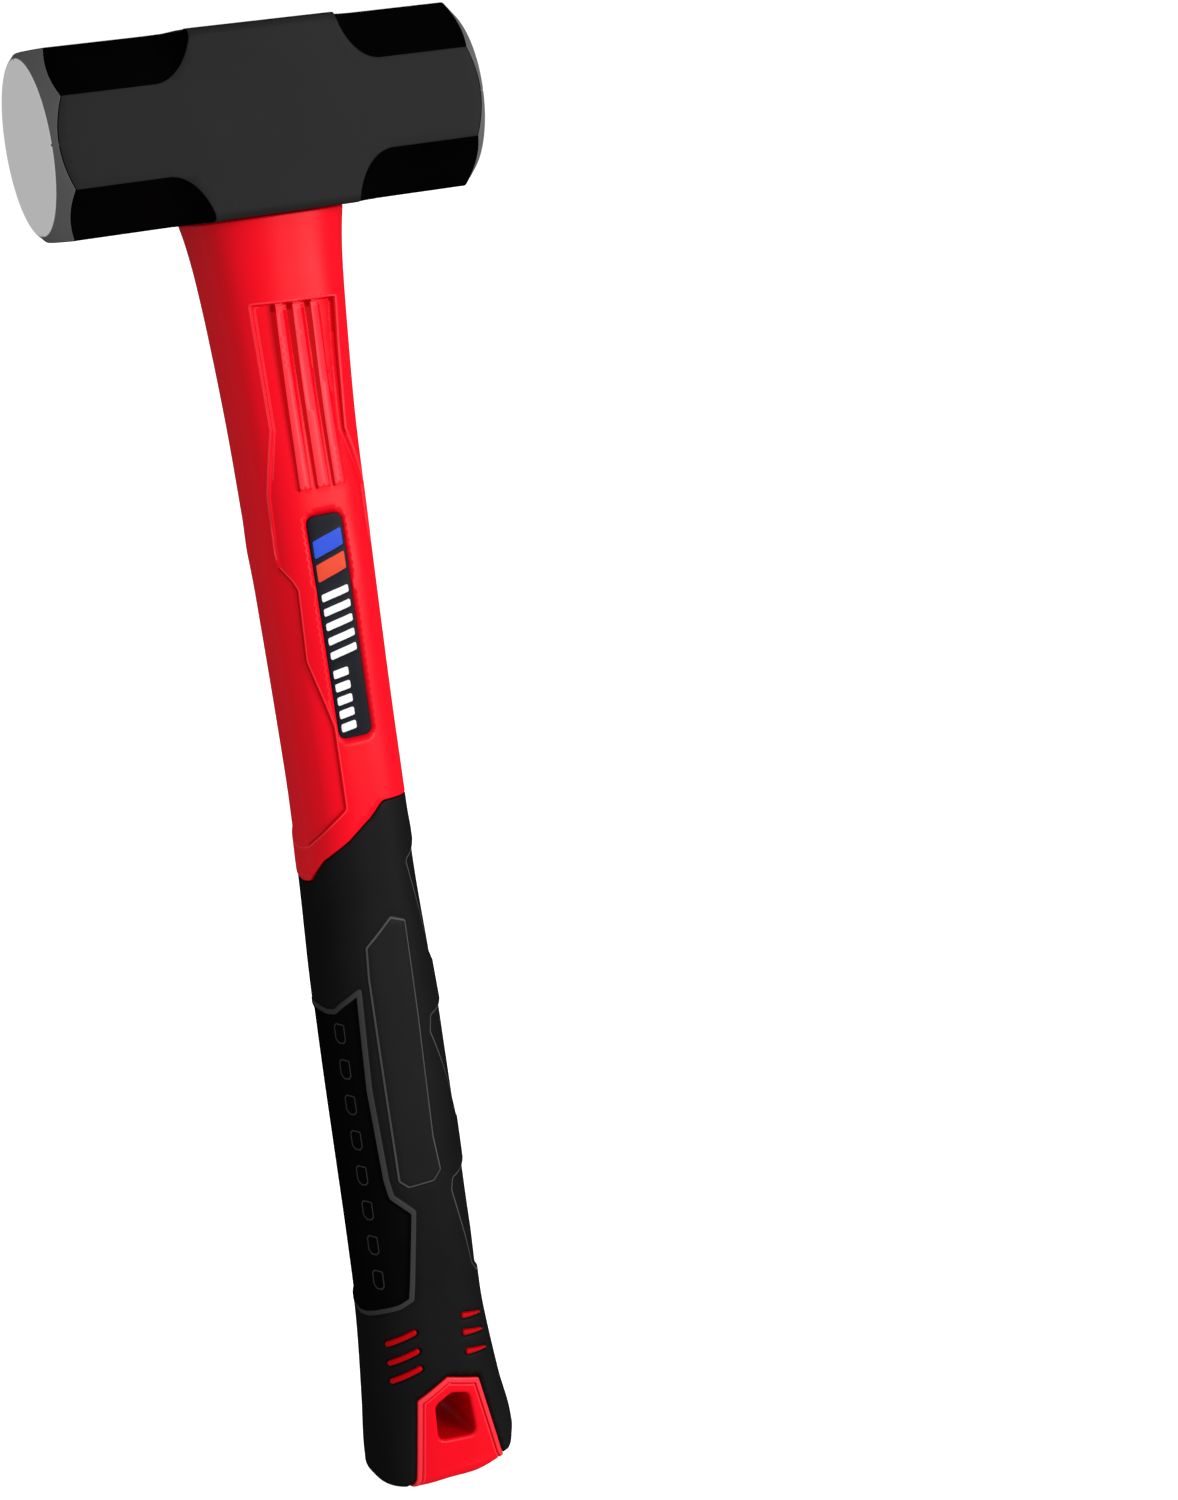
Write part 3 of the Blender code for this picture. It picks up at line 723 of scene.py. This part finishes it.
# Ends of the red bars, left and right, each of three
BARS = [[((-14.8, 41.4), (-6.4, 44.3)), ((-14.6, 36.1), (-6.2, 39.0)), ((-14.4, 31.1), (-6.0, 34.1))],
        [((6.2, 44.9), (12.6, 43.3)), ((5.7, 40.2), (12.1, 38.6)), ((5.6, 34.7), (11.9, 33.4))]]
BAR_HALF, BAR_ROLL = 0.75, 0.55
BAR_TAPERS = (1.0, 0.5)


def bar_outline(start, end, taper):
    """A bar with round ends, whose half thickness at its end is taper times that at its start."""
    a, b = np.array(start, float), np.array(end, float)
    along = (b - a) / np.linalg.norm(b - a)
    across = np.array([-along[1], along[0]])
    ends = []
    round_ends = [(b - along * BAR_HALF * taper, 1, BAR_HALF * taper), (a + along * BAR_HALF, -1, BAR_HALF)]
    for middle, way, half in round_ends:
        for k in range(9):
            turn = math.pi * (k / 8 - 0.5)
            ends.append(tuple(middle + way * half * (along * math.cos(turn) + across * math.sin(turn))))
    return ends


bars = [bar_outline(a, b, taper) for side, taper in zip(BARS, BAR_TAPERS) for a, b in side]
bar_slots = [offset(bar, 0.55) for bar in bars]


def bar_relief(bar):
    return lambda s, t: 0.15 - roll(inside_depth(bar, s, t), BAR_ROLL)


# Every face takes number 1, the darker red painted as shade
def all_painted_shade(s, t):
    return np.ones(len(s), int)


def nowhere(s, t):
    return np.zeros(len(s), bool)


frame_line = [to_skin(x, t) for x, t in divide(window_edge(GAP), 1.0, False)]
frame_line[0], frame_line[-1] = (-SIDE, frame_line[0][1]), (SIDE, frame_line[-1][1])
grip_outline = [*grip_seam, *frame_line[::-1]]
# The same past the sides, so that only the real edges count in a distance
grip_reach = [(-SIDE - 9, grip_seam[0][1]), *grip_seam, (SIDE + 9, grip_seam[-1][1]),
              (SIDE + 9, frame_line[-1][1]), *frame_line[::-1], (-SIDE - 9, frame_line[0][1])]
LONG_PAD_RISE, PAD_DEPTH, PIT_DEPTH = 0.3, 0.85, 0.4
RIGHT_BULGE, LOWER_BULGE = 0.75, 0.5
SCALLOP_DEPTH, SLOT_DEPTH = 0.6, 0.9


def grip_relief(s, t):
    edge = inside_depth(grip_reach, s, t)
    relief = fuller(s, t) - roll(edge, 0.4)
    long_pad = inside_depth(LONG_PAD, s, t)
    relief += LONG_PAD_RISE * ease((long_pad + 0.1) / 0.6) - 0.3 * ridge(long_pad, -0.4, 0.4)
    pad = inside_depth(SIDE_PAD, s, t)
    relief += 0.12 * ease(pad / 0.4) - 0.35 * ridge(pad, -0.35, 0.4)
    relief -= PAD_DEPTH * ease((pad - RIM) / 0.9) * (0.15 + 0.85 * ease((s + SIDE - 3) / 8))
    for pit in PITS:
        relief -= PIT_DEPTH * ease((inside_depth(pit, s, t) - 0.3) / 0.4)
    relief += RIGHT_BULGE * ease((s - 14) / 9) * ease((t - 44) / 12) * ease((184 - t) / 8)
    relief += LOWER_BULGE * ease((s - 14) / 9) * ease((t - 52) / 14) * ease((142 - t) / 16)
    for scallop in SCALLOPS:
        relief -= SCALLOP_DEPTH * ease(inside_depth(scallop, s, t) / 1.5)
    for slot in bar_slots:
        relief -= SLOT_DEPTH * ease((inside_depth(slot, s, t) + 0.1) / 0.5)
    return relief


def grip_paint(s, t):
    """0 for plain rubber, 1 for the dark side pad, 2 for a painted highlight on its rim and the pits' rims,
    3 for the thin painted highlight lines round the long pad and the scallops, 4 for the long pad."""
    number = np.zeros(len(s), int)
    pad = inside_depth(SIDE_PAD, s, t)
    number[pad > 0] = 2
    number[pad > RIM] = 1
    for pit in PITS:
        depth = inside_depth(pit, s, t)
        number[(depth > 0) & (depth < 0.3)] = 2
    long_pad = inside_depth(LONG_PAD, s, t)
    number[long_pad > 0] = 4
    number[(long_pad > 0) & (long_pad < 0.45)] = 3
    for scallop in SCALLOPS:
        depth = inside_depth(scallop, s, t)
        number[(depth > -0.05) & (depth < 0.35)] = 3
    return number


grip_drawing = {
    "domain": grip_outline, "holes": [],
    "outlines": [offset(LONG_PAD, by) for by in (0.8, 0.4, 0, -0.45)]
                + [offset(SIDE_PAD, by) for by in (0.75, 0.35, 0, -0.4, -RIM, -RIM - 0.45, -RIM - 0.9)]
                + [offset(pit, by) for pit in PITS for by in (0, -0.3, -0.7)]
                + [offset(scallop, by) for scallop in SCALLOPS for by in (0.05, -0.35, -0.9, -1.5)]
                + [offset(slot, by) for slot in bar_slots for by in (0.1, -0.15, -0.4)],
    "lines": [moved(grip_seam, -by) for by in (0.12, 0.4)],
    "spacing": 1.1,
}

# ---- label
LABEL_PLATE = offset(LABEL_RECESS, -0.12)


def stripes(low_s, high_s, top, pitch, count, thick, slant):
    """Slanting bars, one under the other."""
    made = []
    for k in range(count):
        t = top - pitch * k
        bar = [(low_s, t - thick - slant / 2), (high_s, t - thick + slant / 2), (high_s, t + slant / 2),
               (low_s, t - slant / 2)]
        made.append(soften(bar, 0.5))
    return made


# Each with the number of its material: two sets of white bars, then a blue and an orange block
LABEL_ART = [(1, stripes(-3.5, 3.5, 242.6, 3.7, 5, 1.9, 1.6)),
             (1, stripes(-3.5, 0.4, 222.6, 3.45, 5, 2.1, 0.6)),
             (2, stripes(-3.7, 3.7, 256.6, 1, 1, 4.4, 2.6)),
             (3, stripes(-3.7, 3.7, 250.6, 1, 1, 4.4, 2.6))]


def label_relief(s, t):
    relief = -0.25 - roll(inside_depth(LABEL_PLATE, s, t), 0.25)
    for _, shapes in LABEL_ART:
        for shape in shapes:
            relief += 0.03 * ease(inside_depth(shape, s, t) / 0.12)
    return relief


def label_paint(s, t):
    number = np.zeros(len(s), int)
    for colour, shapes in LABEL_ART:
        for shape in shapes:
            number[inside_depth(shape, s, t) > 0] = colour
    return number


label_drawing = {
    "domain": LABEL_PLATE, "holes": [],
    "outlines": [offset(LABEL_PLATE, -0.12), offset(LABEL_PLATE, -0.25)]
                + [offset(shape, by) for _, shapes in LABEL_ART for shape in shapes for by in (0, -0.12)],
    "lines": [], "spacing": 1.0,
}

# ---- head
HEAD_HALF = (55.0, 22.4, 22.6)  # half length, half width, half height
END_TOP = 22.2  # the ends' tops are this far over the middle; their undersides are level with the block's
FACE_RADIUS, CONE_RUN = 20.8, 0.93  # the flat face, and the length of its chamfer over its growth in radius
TOP_FLAT, CHEEK_FLAT = 12.3, 10.75  # half widths left between the long chamfers
RUNOUT_START, RUNOUT_RADIUS = 28.6, 10.8  # the arc in which a long chamfer ends
STEP_AT = 18.9  # where the ends' lower tops begin
EDGE = 0.4  # rounding of the worked edges
BLOCK_EDGE = 2.2
EYE_TOP, EYE_BOTTOM, EYE_MIDDLE = (14.0, 11.0), (12.6, 9.6), (13.3, 10.3)
CONE_SHADE_LINE, CONE_SHADE_LINE_AT = 0.13, 0.02  # half width of the line of painted shade at the cone's foot, and how far in it lies
FACE_EDGE = 0.17  # bare steel begins this far before the flat face
FACE_RINGS = (0.985, 0.8, 0.55, 0.3, 0.1)
TURN_SCALE = 24.0  # millimetres of drawing per radian round the head
QUARTER = math.pi / 2 * TURN_SCALE

chamfer_down = np.array([HEAD_HALF[1] - TOP_FLAT, CHEEK_FLAT - END_TOP])
chamfer_down /= np.linalg.norm(chamfer_down)
CHAMFER_OUT = np.array([-chamfer_down[1], chamfer_down[0]])
CHAMFER_DEPTH = float(CHAMFER_OUT @ (TOP_FLAT, END_TOP))


def round_max(a, b, radius):
    """The larger of two distances, with the edge between them rounded."""
    return (np.minimum(np.maximum(a, b), -radius)
            + np.hypot(np.maximum(a + radius, 0), np.maximum(b + radius, 0)))


def head_fields(x, across, up, end_up):
    """Distances outside the block, the long chamfer, the turned cone and the striking face."""
    top = np.minimum(up - end_up, np.maximum(up - HEAD_HALF[2], x - STEP_AT))
    block = round_max(across - HEAD_HALF[1], top, BLOCK_EDGE)
    out = CHAMFER_OUT[0] * across + CHAMFER_OUT[1] * up - CHAMFER_DEPTH
    runout = np.where(out < RUNOUT_RADIUS, RUNOUT_RADIUS - np.hypot(x - RUNOUT_START, out - RUNOUT_RADIUS),
                      x - RUNOUT_START + RUNOUT_RADIUS)
    chamfer = np.where(x > RUNOUT_START, out, runout)
    slope = math.hypot(1, 1 / CONE_RUN)
    cone = (np.hypot(across, up) - FACE_RADIUS - (HEAD_HALF[0] - x) / CONE_RUN) / slope
    return block, chamfer, cone, x - HEAD_HALF[0]


def head_field(x, across, up, end_up):
    """Distance outside the whole head."""
    block, chamfer, cone, face = head_fields(x, across, up, end_up)
    return round_max(round_max(round_max(block, chamfer, EDGE), cone, EDGE), face, EDGE)


def head_radius(x, a, field):
    """How far the head reaches from its long axis, at x and a drawn turn from the cheek's middle."""
    turn = a / TURN_SCALE
    low, high = np.zeros_like(x), np.full_like(x, 40.0)
    for _ in range(40):
        middle = (low + high) / 2
        inside = field(x, middle * np.cos(turn), middle * np.sin(turn)) < 1e-7
        low, high = np.where(inside, middle, low), np.where(inside, high, middle)
    return low


def head_octant(eye, end_up):
    """One eighth of the head, as (x, across, up), with its part of the eye's wall. end_up is how far the
    end's top or underside lies from the middle. Returns points, faces, face numbers and normals."""
    def fields(x, w, h):
        return head_fields(x, w, h, end_up)

    def whole(x, w, h):
        return head_field(x, w, h, end_up)

    turn_steps = np.linspace(0, QUARTER, 61)
    end_x = np.full_like(turn_steps, 40.0)
    flat_radius = head_radius(end_x, turn_steps, lambda x, w, h: np.maximum(*fields(x, w, h)[:2]))
    cone_x = HEAD_HALF[0] - CONE_RUN * (flat_radius - FACE_RADIUS)
    low_turn = TURN_SCALE * math.atan2(CHEEK_FLAT, HEAD_HALF[1])
    high_turn = TURN_SCALE * math.atan2(END_TOP, TOP_FLAT)
    block_turn = np.linspace(low_turn, high_turn, 41)
    block_radius = head_radius(np.zeros_like(block_turn), block_turn, lambda x, w, h: fields(x, w, h)[0])
    out = block_radius * (CHAMFER_OUT[0] * np.cos(block_turn / TURN_SCALE)
                          + CHAMFER_OUT[1] * np.sin(block_turn / TURN_SCALE)) - CHAMFER_DEPTH
    out = np.clip(out, 0, RUNOUT_RADIUS)
    runout_x = RUNOUT_START - np.sqrt(RUNOUT_RADIUS**2 - (out - RUNOUT_RADIUS) ** 2)
    eye_points = [(eye[0] * math.cos(k), TURN_SCALE * math.atan2(HEAD_HALF[2], eye[1] * math.sin(k)))
                  for k in np.linspace(0, math.pi / 2, 25)]
    eye_points[0] = (eye[0], QUARTER)
    eye_points[-1] = (0, eye_points[-1][1])
    lines = [[(x + by, a) for x, a in zip(cone_x, turn_steps)] for by in (-0.4, -0.15, 0.1, 0.35)]
    lines += [[(x + by, a) for x, a in zip(runout_x, block_turn)] for by in (-0.45, 0, 0.45)]
    lines += [[(RUNOUT_START - 4, a + by), (52.5, a + by)]
              for a in (low_turn, high_turn) for by in (-0.4, 0, 0.4)]
    lines += [[(HEAD_HALF[0] - by, 0), (HEAD_HALF[0] - by, QUARTER)] for by in (0.05, 0.12, 0.22, 0.4)]
    lines += [[(STEP_AT + by, high_turn - 1), (STEP_AT + by, QUARTER)] for by in (-0.1, 0.1)]
    domain = [(0, 0), (HEAD_HALF[0], 0), (HEAD_HALF[0], QUARTER), *eye_points]
    flat, faces, loops = mesh_flat(domain, [], [], lines, 1.4)
    x, a = flat[:, 0], flat[:, 1]
    radius = head_radius(x, a, whole)
    across, up = radius * np.cos(a / TURN_SCALE), radius * np.sin(a / TURN_SCALE)
    step = 0.02
    normal = np.stack([whole(x + step, across, up) - whole(x - step, across, up),
                       whole(x, across + step, up) - whole(x, across - step, up),
                       whole(x, across, up + step) - whole(x, across, up - step)], -1)
    # Points on a plane between two eighths stay on it
    normal[x < TINY, 0] = 0
    across[a > QUARTER - TINY] = 0
    normal[a > QUARTER - TINY, 1] = 0
    normal[a < TINY, 2] = 0
    normal[x > HEAD_HALF[0] - TINY] = (1, 0, 0)
    normal = unit(normal)
    points = np.stack([x, across, up], -1)
    centre = points[faces].mean(1)
    block, chamfer, cone, face = fields(*centre.T)
    # The long chamfers take number 1, painted darker as shade
    number = np.where(chamfer > block, 1, 0)
    number = np.where(cone > np.maximum(block, chamfer), 2, number)
    # A line of painted shade round the foot of the cone, in the chamfers' darker look
    cone_foot = np.interp(np.arctan2(centre[:, 2], centre[:, 1]) * TURN_SCALE, turn_steps, cone_x)
    number = np.where(np.abs(centre[:, 0] - cone_foot + CONE_SHADE_LINE_AT) < CONE_SHADE_LINE, 1, number)
    number = np.where(face > -FACE_EDGE, 3, number)
    points, normals, made, numbers = list(points), list(normal), [tuple(f) for f in faces], list(number)
    # The striking face, in rings round its middle
    rim = sorted({i for i in loops[0] if x[i] > HEAD_HALF[0] - TINY}, key=lambda i: a[i])
    ring = rim
    for share in FACE_RINGS:
        first = len(points)
        points += [(HEAD_HALF[0], share * across[i], share * up[i]) for i in rim]
        normals += [(1, 0, 0)] * (len(points) - first)
        inner = list(range(first, len(points)))
        made += [(inner[k], inner[k + 1], ring[k + 1], ring[k]) for k in range(len(ring) - 1)]
        numbers += [3] * (len(ring) - 1)
        ring = inner
    points.append((HEAD_HALF[0], 0, 0))
    normals.append((1, 0, 0))
    made += [(len(points) - 1, ring[k + 1], ring[k]) for k in range(len(ring) - 1)]
    numbers += [3] * (len(ring) - 1)
    # The eye's wall down to the head's middle, with points of its own
    edge = [i for i in loops[0] if a[i] > eye_points[-1][1] - TINY and x[i] < eye[0] + TINY and up[i] > 22]
    edge.sort(key=lambda i: math.atan2(across[i] / eye[1], x[i] / eye[0]))
    first, n = len(points), len(edge)
    for i in edge:
        k = math.atan2(across[i] / eye[1], x[i] / eye[0])
        points += [(x[i], across[i], up[i]), (EYE_MIDDLE[0] * math.cos(k), EYE_MIDDLE[1] * math.sin(k), 0)]
        inwards = np.array([-math.cos(k) / eye[0], -math.sin(k) / eye[1], 0])
        normals += [inwards / np.linalg.norm(inwards)] * 2
    for k in range(n - 1):
        p = first + 2 * k
        made.append((p, p + 1, p + 3, p + 2))
        numbers.append(0)
    return np.array(points, float), made, numbers, np.array(normals, float)


def build_head(name, looks):
    """The head from its eighths, joined where points and normals agree."""
    points, faces, numbers, normals = [], [], [], []
    octants = [(1, head_octant(EYE_TOP, END_TOP)), (-1, head_octant(EYE_BOTTOM, HEAD_HALF[2]))]
    for up_sign, (own_points, own_faces, own_numbers, own_normals) in octants:
        for x_sign in (1, -1):
            for y_sign in (1, -1):
                # The octant's second axis runs to the front, which is -Y
                signs = np.array([x_sign, y_sign, up_sign])
                first = len(points)
                points += list(own_points * signs)
                normals += list(own_normals * signs)
                flipped = x_sign * y_sign * up_sign > 0
                faces += [tuple(first + i for i in (f[::-1] if flipped else f)) for f in own_faces]
                numbers += own_numbers
    points, normals = np.array(points), np.array(normals)
    key = np.round(np.hstack([points, normals * 0.2]), 2)
    _, first, index = np.unique(key, axis=0, return_index=True, return_inverse=True)
    index = index.reshape(-1)
    points = points[first] + (0, 0, HEAD_MIDDLE)
    kept = [(tuple(dict.fromkeys(int(index[i]) for i in f)), n) for f, n in zip(faces, numbers)]
    kept = [(f, n) for f, n in kept if len(f) > 2]
    return make_piece(name, points, [f for f, _ in kept], [n for _, n in kept], normals[first], looks)


# ---- pieces
JACKET_WALL, BAR_WALL, GRIP_WALL, LABEL_THICK = 1.7, 1.4, 1.9, 0.5

jacket_halves = [half_piece(skin_point, on_sides, jacket_drawing, jacket_relief, jacket_paint, JACKET_WALL),
                 half_piece(block_point, under_fold, block_drawing, block_relief, block_paint)]
for bar in bars:
    creases = [offset(bar, -0.2), offset(bar, -0.45)]
    bar_drawing = {"domain": bar, "holes": [], "outlines": creases, "lines": [], "spacing": 0.5}
    jacket_halves.append(half_piece(skin_point, nowhere, bar_drawing, bar_relief(bar), all_painted_shade, BAR_WALL))
jacket_looks = ["red_plastic", "red_painted_shade", "red_painted_highlight"]
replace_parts(add_piece("moulded_jacket", jacket_halves, jacket_looks), "handle_jacket")
grip_half = half_piece(skin_point, on_sides, grip_drawing, grip_relief, grip_paint, GRIP_WALL)
grip_looks = ["black_rubber", "pad_rubber", "rim_painted_highlight", "thin_line_painted_highlight", "long_rubber"]
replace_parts(add_piece("grip_sleeve", [grip_half], grip_looks), "rubber_grip")
label_half = half_piece(skin_point, nowhere, label_drawing, label_relief, label_paint, LABEL_THICK)
label_looks = ["label_ground", "label_white", "label_blue", "label_orange"]
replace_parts(add_piece("label_plates", [label_half], label_looks), "label_front", "label_back")
head_looks = ["head_paint", "chamfer_painted_shade", "head_cone", "bare_steel_painted_reflection"]
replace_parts(build_head("forged_head", head_looks), "steel_head")
for node, look in (("fiberglass_core", "fibreglass"), ("eye_epoxy", "epoxy")):
    for slot in frame["nodes"][node].material_slots:
        slot.material = materials[look]

# ---- camera
AROUND_DEG, ABOVE_DEG, ROLL_DEG, AWAY = -24.2, 12.9, -7.38, 706.3
LENS_MM = 69.26
AIM_RIGHT, AIM_UP = 83.99, -154.06  # from the head's middle, across and up the picture
turn_z, rise = math.radians(AROUND_DEG), math.radians(ABOVE_DEG)
back = Vector((math.sin(turn_z) * math.cos(rise), -math.cos(turn_z) * math.cos(rise), math.sin(rise)))
up = Vector((-math.sin(turn_z) * math.sin(rise), math.cos(turn_z) * math.sin(rise), math.cos(rise)))
right = up.cross(back)
rolled = math.radians(ROLL_DEG)
camera_right = right * math.cos(rolled) + up * math.sin(rolled)
camera_up = up * math.cos(rolled) - right * math.sin(rolled)
camera_data = bpy.data.cameras.new("camera")
camera_data.lens, camera_data.sensor_width = LENS_MM, 36
camera_data.clip_start, camera_data.clip_end = 0.01, 100
camera = new_object("camera", camera_data)
place = (Vector((0, 0, HEAD_MIDDLE)) + back * AWAY + camera_right * AIM_RIGHT + camera_up * AIM_UP) * MM
axes = zip(camera_right, camera_up, back)
camera.matrix_world = Matrix([(*row, at) for row, at in zip(axes, place)] + [(0, 0, 0, 1)])
bpy.context.scene.camera = camera

# ---- light and floor
world = bpy.data.worlds.new("studio")
world.use_nodes = True
bpy.context.scene.world = world
tree = world.node_tree
surround = tree.nodes["Background"]
surround.inputs["Color"].default_value = (1, 1, 1, 1)
# White behind the object, softer as a light, and dark in reflections, as with black flags in a studio
path = add_node(tree, "LightPath").outputs
AS_LIGHT, AS_REFLECTION, AS_BACKGROUND = 0.53, 0.03, 1.05
reflected = add_node(tree, "MapRange", {"Value": path["Is Glossy Ray"], "To Min": AS_LIGHT,
                                        "To Max": AS_REFLECTION})
level = add_node(tree, "MapRange", {"Value": path["Is Camera Ray"], "To Min": reflected.outputs["Result"],
                                    "To Max": AS_BACKGROUND})
tree.links.new(level.outputs["Result"], surround.inputs["Strength"])

key_light = bpy.data.lights.new("key", "AREA")
key_light.shape, key_light.size, key_light.energy = "SQUARE", 0.7, 14
key = new_object("key", key_light)
key.location = (0.75, -1.15, 0.4)
HAMMER_MIDDLE = Vector((0, 0, 0.19))
key.rotation_euler = (key.location - HAMMER_MIDDLE).to_track_quat("Z", "Y").to_euler()
key.visible_camera = False

FLOOR = 12.0
floor_corners = [(-FLOOR, -FLOOR, 0), (FLOOR, -FLOOR, 0), (FLOOR, FLOOR, 0), (-FLOOR, FLOOR, 0)]
floor_mesh = bpy.data.meshes.new("floor")
floor_mesh.from_pydata(floor_corners, [], [(0, 1, 2, 3)])
floor = new_object("floor", floor_mesh)
floor.location.z = -0.0005
floor_white, _, floor_shader = shader("floor_white")
floor_shader.inputs["Base Color"].default_value = (0.85, 0.85, 0.85, 1)
floor_shader.inputs["Roughness"].default_value = 0.9
floor_shader.inputs["Emission Color"].default_value = (1, 1, 1, 1)
floor_shader.inputs["Emission Strength"].default_value = 1.0
floor_mesh.materials.append(floor_white)
floor.visible_diffuse = False
floor.visible_glossy = False

bpy.context.scene.view_settings.view_transform = "Standard"
bpy.context.view_layer.update()
